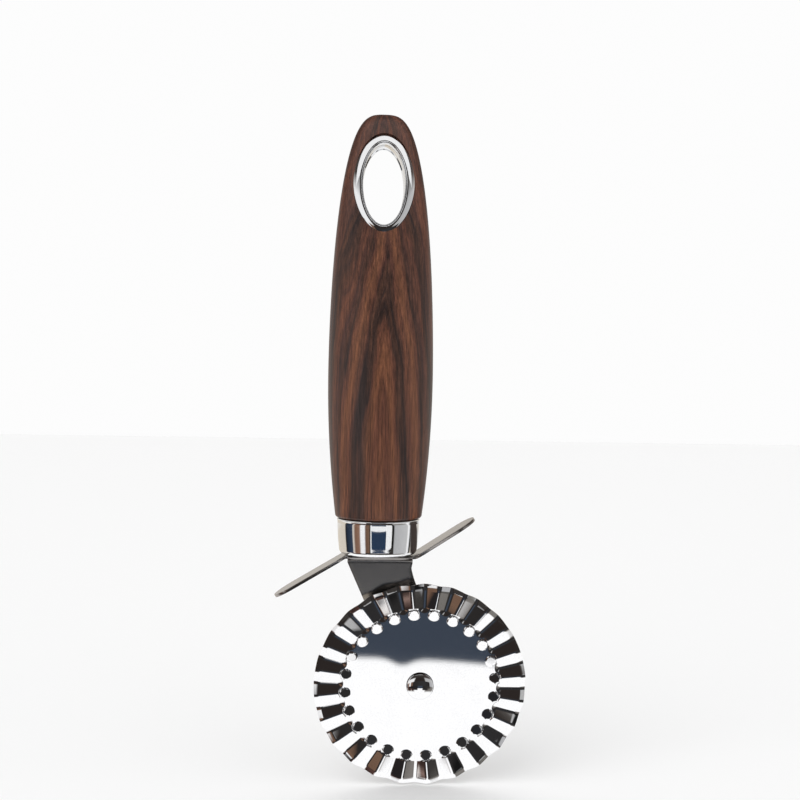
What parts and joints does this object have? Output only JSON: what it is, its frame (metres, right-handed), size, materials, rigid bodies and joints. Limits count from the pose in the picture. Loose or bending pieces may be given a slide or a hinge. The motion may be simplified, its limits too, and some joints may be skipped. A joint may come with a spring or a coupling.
{
  "type": "pastry cutter wheel",
  "caption": "Hand pastry wheel: fluted steel disc that spins on a riveted neck with a finger guard, wood-look handle, chrome ferrule and hanging eyelet.",
  "frame": {"origin": "the point where a hook carries the tool: middle of the eyelet's upper inner edge, on the handle's middle plane", "axes": "+Z along the handle away from the wheel, +X to the side the wheel is offset to, -Y to the side the wheel's face looks at"},
  "size_m": [0.0779, 0.0258, 0.208],
  "materials": {
    "wood_film": "moulded handle with a dark rosewood-look printed film, satin lacquer",
    "core_plastic": "black moulded core, hidden inside the handle",
    "chrome_trim": "bright chrome plating",
    "satin_steel": "stamped stainless steel, fine satin",
    "polished_steel": "stainless steel polished to a near mirror, faint hairlines",
    "nylon": "natural nylon"
  },
  "bodies": {
    "handle": {"handle_body": "wood_film", "handle_core": "core_plastic", "ferrule": "chrome_trim", "eyelet_front": "chrome_trim", "eyelet_rear": "chrome_trim", "tang_rod": "satin_steel", "guard_bracket": "satin_steel", "axle_rivet": "polished_steel", "wheel_spacer": "nylon", "rear_washer": "satin_steel"},
    "cutting_wheel": {"wheel": "polished_steel"}
  },
  "joints": [
    {"name": "wheel_spin", "type": "hinge", "parent": "handle", "child": "cutting_wheel", "pos_m": [0.0136, -0.00073, -0.16605], "axis": [0, -0.9833, -0.1822], "continuous": true}
  ]
}
